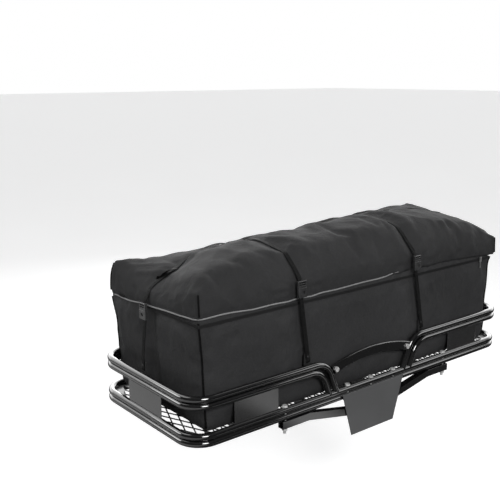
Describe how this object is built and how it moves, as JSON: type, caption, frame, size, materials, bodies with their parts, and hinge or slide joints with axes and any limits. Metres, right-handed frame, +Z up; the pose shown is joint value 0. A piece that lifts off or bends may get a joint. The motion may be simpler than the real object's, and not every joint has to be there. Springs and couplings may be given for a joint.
{
  "type": "hitch cargo carrier",
  "caption": "Tubular steel cargo basket on a square hitch shank, with a mesh floor, side plates, a hanging number plate bracket and a strapped soft cargo bag with a lift-up lid.",
  "frame": {"origin": "centre of the hitch pin hole in the square shank", "axes": "+X across the vehicle along the pin hole and the basket's long side, +Y forwards into the vehicle's receiver, +Z up"},
  "size_m": [1.524, 0.9212, 0.6919],
  "materials": {
    "bag_fabric": "coated black woven polyester",
    "black_plastic": "moulded black plastic",
    "bracket_paint": "satin black powder coat on flat sheet",
    "buckle_plastic": "moulded black acetal",
    "frame_paint": "gloss black powder coat over bent steel tube",
    "hook_steel": "black coated steel",
    "lid_fabric": "coated black woven polyester",
    "mesh_steel": "black powder coat on expanded steel",
    "piping": "light grey piping cord",
    "plate_paint": "gloss black powder coat on flat sheet",
    "webbing": "black polypropylene webbing",
    "zinc_steel": "bright zinc plate",
    "zip_coil": "black nylon zip coil",
    "zip_metal": "black lacquered zip slider"
  },
  "bodies": {
    "carrier": {"arch_bolts": "zinc_steel", "bag_tub": "bag_fabric", "brace_bolts": "zinc_steel", "bracket_bolts": "zinc_steel", "buckle_sockets": "buckle_plastic", "centre_cross_bar": "frame_paint", "flat_washers": "zinc_steel", "front_arch_bar": "frame_paint", "front_arch_tabs": "frame_paint", "front_drop_brace": "frame_paint", "front_left_lower_strap": "webbing", "front_left_side_plate": "plate_paint", "front_right_lower_strap": "webbing", "front_right_side_plate": "plate_paint", "hex_nuts": "zinc_steel", "hitch_shank": "frame_paint", "left_end_lower_strap": "webbing", "left_end_plate": "plate_paint", "left_floor_mesh": "mesh_steel", "left_inner_cross_bar": "frame_paint", "left_outer_cross_bar": "frame_paint", "left_upper_rail_bottom": "frame_paint", "left_upper_rail_top": "frame_paint", "lower_rail_bottom": "frame_paint", "lower_rail_top": "frame_paint", "number_plate_bracket": "bracket_paint", "rear_arch_bar": "frame_paint", "rear_arch_tabs": "frame_paint", "rear_drop_brace": "frame_paint", "rear_left_lower_strap": "webbing", "rear_left_side_plate": "plate_paint", "rear_right_lower_strap": "webbing", "rear_right_side_plate": "plate_paint", "right_end_lower_strap": "webbing", "right_end_plate": "plate_paint", "right_floor_mesh": "mesh_steel", "right_inner_cross_bar": "frame_paint", "right_outer_cross_bar": "frame_paint", "right_upper_rail_bottom": "frame_paint", "right_upper_rail_top": "frame_paint", "shank_clamp_bolts": "zinc_steel", "shank_end_cap": "black_plastic", "strap_anchor_tabs": "hook_steel", "zip_track": "zip_coil"},
    "bag_lid": {"bag_lid": "lid_fabric", "lid_piping": "piping", "left_over_strap": "webbing", "right_over_strap": "webbing", "lengthwise_over_strap": "webbing"},
    "zip": {"zip_slider": "zip_metal", "zip_pull": "zip_metal"},
    "rear_left_buckle_plug": {"rear_left_buckle_plug": "buckle_plastic"},
    "rear_right_buckle_plug": {"rear_right_buckle_plug": "buckle_plastic"},
    "left_end_buckle_plug": {"left_end_buckle_plug": "buckle_plastic"},
    "right_end_buckle_plug": {"right_end_buckle_plug": "buckle_plastic"}
  },
  "joints": [
    {"name": "lid_hinge", "type": "hinge", "parent": "carrier", "child": "bag_lid", "pos_m": [0, -0.3, 0.40269], "axis": [-1, 0, 0], "range_deg": [0, 100]},
    {"name": "zip_slide", "type": "slide", "parent": "carrier", "child": "zip", "axis": [1, 0, 0], "range_m": [-1.26, 0]},
    {"name": "rear_left_buckle_release", "type": "slide", "parent": "bag_lid", "child": "rear_left_buckle_plug", "axis": [0, 0.0854, 0.9963], "range_m": [0, 0.03]},
    {"name": "rear_right_buckle_release", "type": "slide", "parent": "bag_lid", "child": "rear_right_buckle_plug", "axis": [0, 0.0854, 0.9963], "range_m": [0, 0.03]},
    {"name": "left_end_buckle_release", "type": "slide", "parent": "bag_lid", "child": "left_end_buckle_plug", "axis": [0, 0, 1], "range_m": [0, 0.03]},
    {"name": "right_end_buckle_release", "type": "slide", "parent": "bag_lid", "child": "right_end_buckle_plug", "axis": [0, 0, 1], "range_m": [0, 0.03]}
  ]
}
